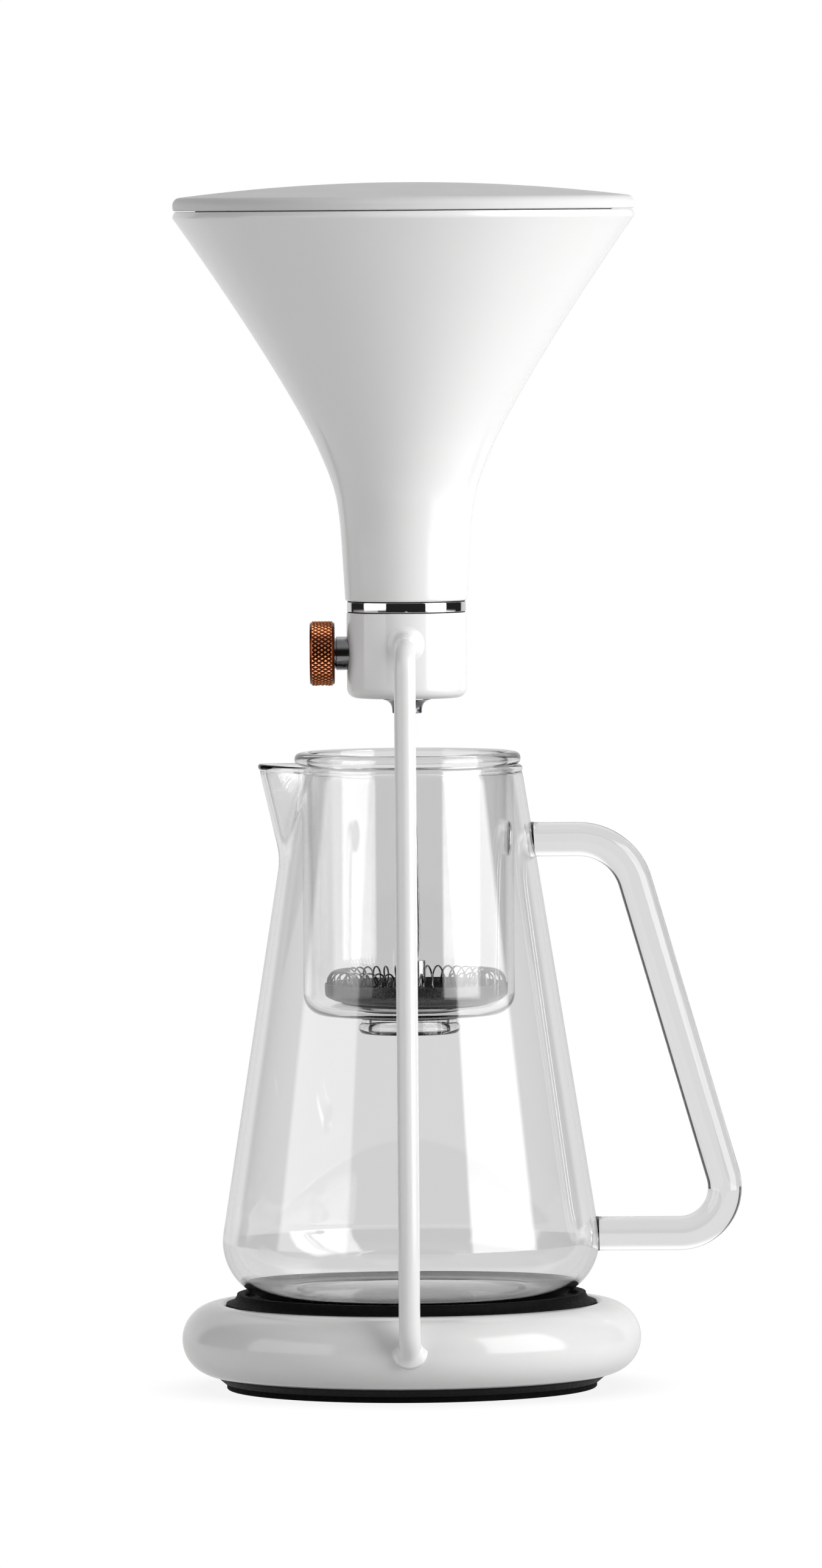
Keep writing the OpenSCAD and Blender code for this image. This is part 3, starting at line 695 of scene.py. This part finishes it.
def carafe():
    """Blown body with a pulled lip, and the rod handle fused to it."""
    z0, rim = low("carafe_body").z, high("carafe_body").z
    foot, corner, taper, wall, bead = 42.7, 19.3, 9.0, 1.8, 1.25
    middle = z0 + corner
    cone_r = foot + corner * math.cos(math.radians(taper))
    cone_z = middle + corner * math.sin(math.radians(taper))

    def cone(z):
        """The body's outside radius at a height."""
        return cone_r - (z - cone_z) * math.tan(math.radians(taper))

    bead_x, bead_z = cone(rim - bead) - bead + 0.25, rim - bead
    side = np.linspace(cone_z + 1, rim - 3.5, 90)
    outline = (
        [(0, z0 + 1.3), (14, z0 + 1.2), (28, z0 + 0.9)]
        + rounded([(28, z0 + 0.9), (35.5, z0 + 0.55, 3), (38, z0, 2), (foot, z0)], 8, closed=False)[1:-1]
        + arc(foot, middle, corner, -90, taper, 48)
        + [(cone(z), z) for z in side]
        + arc(bead_x, bead_z, bead, -40, 215, 18)
        + [(cone(z) - wall, z) for z in reversed(side)]
        + arc(foot, middle, corner - wall, taper, -90, 40)
        + [(28, z0 + 2.5), (14, z0 + 2.9), (0, z0 + 3.0)]
    )
    lip_start, lip_reach = 171.0, 49.4
    lip_root, lip_spread, lip_lift, floor_r = 13, 19, 0.06, 20
    lip_out = lip_reach - cone(rim) - 0.25

    def pulled(points):
        """Pulls the rim out into a pouring lip that narrows downwards, at -X."""
        x, y, z = points.T
        rise = np.clip((z - lip_start) / (rim - lip_start), 0, None)
        reach = lip_out * np.where(rise < 0.25, 2 * rise**2, rise - 0.125) / 0.875
        half = lip_root + lip_spread * np.clip(rise, 0, 1) ** 0.85
        turn = np.degrees(np.abs(np.arctan2(y, -x)))
        share = np.clip(turn / half, 0, 1)
        pull = reach * np.cos(share * math.pi / 2) ** 2
        radius = np.hypot(x, y)
        wall_point = radius > floor_r
        scale = np.where(wall_point, 1 + pull / np.maximum(radius, TINY), 1)
        points[:, :2] *= scale[:, None]
        points[:, 2] += np.where(wall_point, lip_lift * pull * np.clip(rise - 0.8, 0, 0.2) / 0.2, 0)
        return points

    body = lathe("carafe_glass_body", outline, 256, pulled)
    bar, corner_x, lean_x, lean_z, bends = 5.6, 108.5, 0.28, 0.96, (19.5, 15.0)
    z_top, z_low = high("carafe_handle").z - bar, low("carafe_handle").z + bar
    corner_low, slant = Vector((corner_x, 0, z_low)), Vector((lean_x, 0, -lean_z))
    corner_top = corner_low - slant * (z_top - z_low) / lean_z
    roots = Vector((cone(z_top) - 0.9, 0, z_top)), Vector((cone(z_low + 3) - 0.9, 0, z_low))
    path = bent_path([roots[0], corner_top, corner_low, roots[1]], bends, 0.5, 28)
    along = np.concatenate([[0], np.cumsum(np.linalg.norm(np.diff(path, axis=0), axis=1))])
    from_end = np.minimum(along, along[-1] - along)
    weld, weld_length = 0.2, 1.2
    handle = tube("carafe_handle_rod", path, bar + weld * np.exp(-((from_end / weld_length) ** 2)), 64)
    boolean(body, handle, "UNION")
    place(body, "carafe", "glass", CARAFE_GLASS, "carafe_body", "carafe_handle")


def drip_chamber():
    """Glass cup with a flange that hangs on the carafe's rim and a beaded outlet neck."""
    seat, top, r = high("carafe_body").z, high("drip_chamber").z, high("drip_chamber").x
    tube_r, inner, corner = 34.8, 33.0, 7.0
    z, neck_z, bore, neck = 123.0, low("drip_chamber").z, 12.5, 15.7
    bead = 1.9
    outline = (
        arc(14.2, neck_z + 1.7, 1.7, 180, 270, 6)[:-1]
        + arc(neck - 0.9, neck_z + bead, bead, -90, 62, 14)
        + rounded([(neck, neck_z + 2 * bead - 0.1), (neck, z, 1.6), (24, z + 0.15)], 8, closed=False)
        + arc(tube_r - corner, z + corner, corner, -90, 0, 20)
        + rounded([(tube_r, z + corner + 1), (tube_r, seat, 0.8), (r, seat + 0.3, 1.8), (r, top - 0.55, 1.9),
                   (inner + 0.2, top, 1.0), (inner, z + 20)], 9, closed=False)
        + arc(27.8, z + 2.2 + 5.2, 5.2, 0, -90, 16)
        + rounded([(24, z + 2.2), (bore, z + 2.2, 1.6), (bore, neck_z + 3)], 8, closed=False)
    )
    place(lathe("drip_chamber_glass", outline, 256), "drip_chamber", "glass", CHAMBER_GLASS, "drip_chamber")


# ---- Filter ----

FILTER_X = (low("filter_rod").x + high("filter_rod").x) / 2
AT_FILTER = Matrix.Translation((FILTER_X, 0, 0))


def filter_mesh():
    """Cup of twilled wire cloth: the twill's ridges run slantwise round its wall."""
    r, z0, z1 = high("filter_mesh").x - FILTER_X, low("filter_mesh").z, high("filter_mesh").z
    corner, thick, ridges, ridge = 4.3, 0.4, 200, 0.11
    wall = [(r, z) for z in np.linspace(z0 + corner, z1, 8)]
    outline = (
        [(0.6, z0), (20, z0)]
        + arc(r - corner, z0 + corner, corner, -90, 0, 18) + wall[1:]
        + [(r - thick * 0.5, z1 + 0.15), (r - thick, z1)]
        + [(r - thick, z0 + corner + 0.5)]
        + arc(r - corner, z0 + corner, corner - thick, 0, -90, 10)
        + [(20, z0 + thick), (0.6, z0 + thick)]
    )

    def twilled(points):
        radius = np.hypot(points[:, 0], points[:, 1])
        turn = np.arctan2(points[:, 1], points[:, 0])
        phase = turn * ridges + points[:, 2] * 2 * math.pi / 0.95
        skin = (radius > r - corner - 1) & (points[:, 2] > z0 + 0.05)
        outer = skin & (np.hypot(radius - (r - corner), points[:, 2] - z0 - corner) > corner - 0.2)
        outer |= (radius > r - 0.1)
        lift = outer * ridge * (0.5 * np.cos(phase) - 0.5)
        points[:, :2] *= (1 + lift / np.maximum(radius, TINY))[:, None]
        return points

    cup = lathe("filter_mesh_cup", outline, ridges * 6, twilled, AT_FILTER, sharp=60)
    place(cup, "filter", "steel_mesh", MESH, "filter_mesh")


def filter_spring():
    """One continuous coil laid round the cup's edge, springing up out of it."""
    ring = (high("filter_spring").x - low("filter_spring").x) / 2 - 4.0
    z = (low("filter_spring").z + high("filter_spring").z) / 2
    turns, steps, wire, coil = 45, 28, 0.3, 3.68
    k = np.arange(turns * steps) / (turns * steps) * 2 * math.pi
    out = np.stack([np.cos(k), np.sin(k), 0 * k], 1)
    twist = k * turns
    spoke = np.cos(twist)[:, None] * out + np.sin(twist)[:, None] * np.array((0, 0, 1.0))
    centres = out * ring + np.array((FILTER_X, 0, z)) + coil * spoke
    spring = tube("filter_spring_coil", centres, wire, 8, closed=True, inward=spoke)
    place(spring, "filter", "steel", WIRE, "filter_spring")


def filter_turned(node, slot, material, edge, sides=96):
    r, z0, z1 = (high(node).x - low(node).x) / 2, low(node).z, high(node).z
    outline = rounded([(0.55, z0), (r, z0, edge), (r, z1, edge), (0.55, z1)], 5)
    place(lathe(node + "_turned", outline, sides, axis=AT_FILTER), "filter", slot, material, node)


def filter_rod():
    """Thin pull wire with a little bend, ending in a plain rounded tip."""
    z0, z1 = low("filter_rod").z, high("filter_rod").z
    rings, wire, tip, length = 60, 0.42, 0.2, 55
    kink, kink_rate, lean = 1.3, 12, 1.5
    heights = np.linspace(z0, z1 - 0.01, rings)
    above = np.clip((heights - high("filter_nut").z) / length, 0, None)
    bent = kink * (1 - np.exp(-above * kink_rate)) - lean * above
    centres = np.stack([FILTER_X + bent, 0 * above, heights], 1)
    radii = np.full(rings, wire)
    radii[-1] = tip
    place(tube("filter_rod_wire", centres, radii, 16), "filter", "steel", STEM_STEEL, "filter_rod")


# ---- The parts that keep their CAD shape ----

KEPT = {
    "base_weight": IRON,
    "cover_screws": STEEL,
    "shell_screws": STEEL,
    "arm_screws": STEEL,
    "valve_body": BRASS,
    "gland_nut": STEM_STEEL,
    "nozzle_o_ring": BLACK_RUBBER,
    "stem_o_rings": BLACK_RUBBER,
    "valve_tip": WHITE_PLASTIC,
    "knob_set_screw": STEEL,
    "funnel_seal": BLACK_SILICONE,
}


def finish_kept_nodes():
    for node, material in KEPT.items():
        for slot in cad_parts[node].material_slots:
            slot.link = "OBJECT"
            slot.material = material


base_shell()
base_cover()
foot_sheet()
carafe_mat()
arm()
collar()
thin_ring("collar_gasket", "stand", "black_rubber", BLACK_RUBBER, 0.08)
thin_ring("collar_ring", "stand", "chrome", CHROME, 0.18)
thin_ring("funnel_gasket", "stand", "black_rubber", BLACK_RUBBER, 0.08)
outlet_nozzle()
knob()
knob_stem()
funnel()
funnel_lid()
carafe()
drip_chamber()
filter_mesh()
filter_turned("filter_plate", "black_silicone", BLACK_SILICONE, 0.3, 128)
filter_turned("filter_washer", "steel", STEEL, 0.15)
filter_turned("filter_nut", "steel", STEEL, 0.35)
filter_rod()
filter_spring()
finish_kept_nodes()


# ---- Floor, light and camera ----

# Strengths of the lights. RIGHT_CARD and LOW_CARD carry on below the table's level.
RIGHT_BOX, RIGHT_CARD, LEFT_BOX, LOW_CARD = 4.9, 2.4, 2.15, 0.4
BACKDROP, CEILING, DARK_ROOM = 0.74, 0.03, 0.02
MIRRORED_TABLE, MIRRORED_CEILING = 0.68, 0.5  # as bright as glass and metal see them


def lit_world():
    """Two tall soft boxes in front, a grey backdrop behind and dark gaps between them.

    Azimuth is measured from the camera's side, -Y, towards +X.
    """
    world = bpy.data.worlds.new("studio")
    bpy.context.scene.world = world
    world.use_nodes = True
    world.node_tree.nodes.clear()
    nodes = Nodes(world.node_tree)
    maths = nodes.maths

    def ramp(value, start, end, first, last):
        return nodes.between(value, start, end, first, last, smoothly=True)

    axes = nodes.node("ShaderNodeSeparateXYZ")
    nodes.link(nodes.node("ShaderNodeTexCoord").outputs["Generated"], axes.inputs[0])
    x, y, z = axes.outputs
    azimuth = maths("MULTIPLY", maths("ARCTAN2", x, maths("MULTIPLY", y, -1)), 180 / math.pi)
    height = maths("MULTIPLY", maths("ARCSINE", z), 180 / math.pi)

    def window(value, start, end, soft):
        rise = ramp(value, start - soft, start + soft, 0, 1)
        return maths("MULTIPLY", rise, ramp(value, end - soft, end + soft, 1, 0))

    def panel(start, end, bottom, top, strength, soft=1.5, soft_up=4.0):
        shape = maths("MULTIPLY", window(azimuth, start, end, soft), window(height, bottom, top, soft_up))
        return maths("MULTIPLY", shape, strength)

    behind = ramp(maths("ABSOLUTE", azimuth), 131, 139, 0, 1)
    backdrop = maths("MULTIPLY", maths("MULTIPLY", behind, ramp(height, 50, 88, 1, 0.4)), BACKDROP)
    ray = nodes.node("ShaderNodeLightPath").outputs
    mirrored = maths("SUBTRACT", 1, ray["Is Diffuse Ray"])
    high_room = ramp(height, 40, 75, 0, CEILING)
    high_gloss = maths("MULTIPLY", ramp(height, 22, 48, 0, MIRRORED_CEILING), mirrored)
    lights = [
        panel(39, 84, -8, 46, RIGHT_BOX),
        panel(45, 112, -30, -8, RIGHT_CARD),
        panel(-90, -40, -5, 30, LEFT_BOX),
        panel(-126, -57, -42, -5, LOW_CARD, 1.0, 2.0),
        backdrop, high_room, high_gloss,
    ]
    total = DARK_ROOM
    for light in lights:
        total = maths("ADD", total, light)
    seen = ray["Is Camera Ray"]
    white = nodes.node("ShaderNodeBackground")
    white.inputs["Color"].default_value = (1, 1, 1, 1)
    unseen = maths("MULTIPLY", total, maths("SUBTRACT", 1, seen))
    nodes.link(maths("ADD", unseen, seen), white.inputs["Strength"])
    nodes.link(white.outputs[0], nodes.node("ShaderNodeOutputWorld").inputs["Surface"])


def floor():
    """Pale round table top that fades to the white surroundings, with a soft contact shade."""
    mesh = bpy.data.meshes.new("floor")
    radius, matt_white, shade_distance = 0.7, 0.64, 0.02
    turns = np.linspace(0, 2 * math.pi, 96, endpoint=False)
    rim = [(radius * math.cos(a), radius * math.sin(a), 0) for a in turns]
    mesh.from_pydata(rim, [], [list(range(len(rim)))])
    table = bpy.data.objects.new("floor", mesh)
    bpy.context.scene.collection.objects.link(table)
    material = bpy.data.materials.new("pale_floor")
    material.use_nodes = True
    material.node_tree.nodes.clear()
    nodes = Nodes(material.node_tree)
    shade = nodes.node("ShaderNodeAmbientOcclusion")
    shade.inputs["Distance"].default_value = shade_distance
    glow = nodes.node("ShaderNodeEmission")
    nodes.link(nodes.between(shade.outputs["AO"], 0.3, 0.95, 0.9, 1.0), glow.inputs["Strength"])
    matt = nodes.node("ShaderNodeBsdfDiffuse")
    matt.inputs["Color"].default_value = (matt_white, matt_white, matt_white, 1)
    pale = nodes.node("ShaderNodeEmission")
    pale.inputs["Strength"].default_value = MIRRORED_TABLE
    ray = nodes.node("ShaderNodeLightPath").outputs

    def choose(chance, first, second):
        mix = nodes.node("ShaderNodeMixShader")
        for socket, output in zip(mix.inputs, (chance, first, second)):
            nodes.link(output, socket)
        return mix.outputs[0]

    seen_in_glass = choose(ray["Is Diffuse Ray"], pale.outputs[0], matt.outputs[0])
    out = nodes.node("ShaderNodeOutputMaterial")
    nodes.link(choose(ray["Is Camera Ray"], seen_in_glass, glow.outputs[0]), out.inputs["Surface"])
    mesh.materials.append(material)


def camera():
    """Long lens at the lid's height, turned a little towards the handle."""
    distance, height, azimuth, roll = 4.5, 0.392, 0.5, -0.43
    aim = Vector((0.0011, 0, 0.199))
    data = bpy.data.cameras.new("camera")
    data.lens = 314.2
    data.sensor_width = 36
    data.clip_start, data.clip_end = 0.1, 50
    cam = bpy.data.objects.new("camera", data)
    turn = math.radians(azimuth)
    cam.location = (aim.x + distance * math.sin(turn), -distance * math.cos(turn), height)
    cam.rotation_mode = "QUATERNION"
    look = (aim - cam.location).to_track_quat("-Z", "Y")
    cam.rotation_quaternion = look @ Matrix.Rotation(math.radians(roll), 4, "Z").to_quaternion()
    bpy.context.scene.collection.objects.link(cam)
    bpy.context.scene.camera = cam


lit_world()
floor()
camera()
bpy.context.scene.view_settings.view_transform = "Standard"
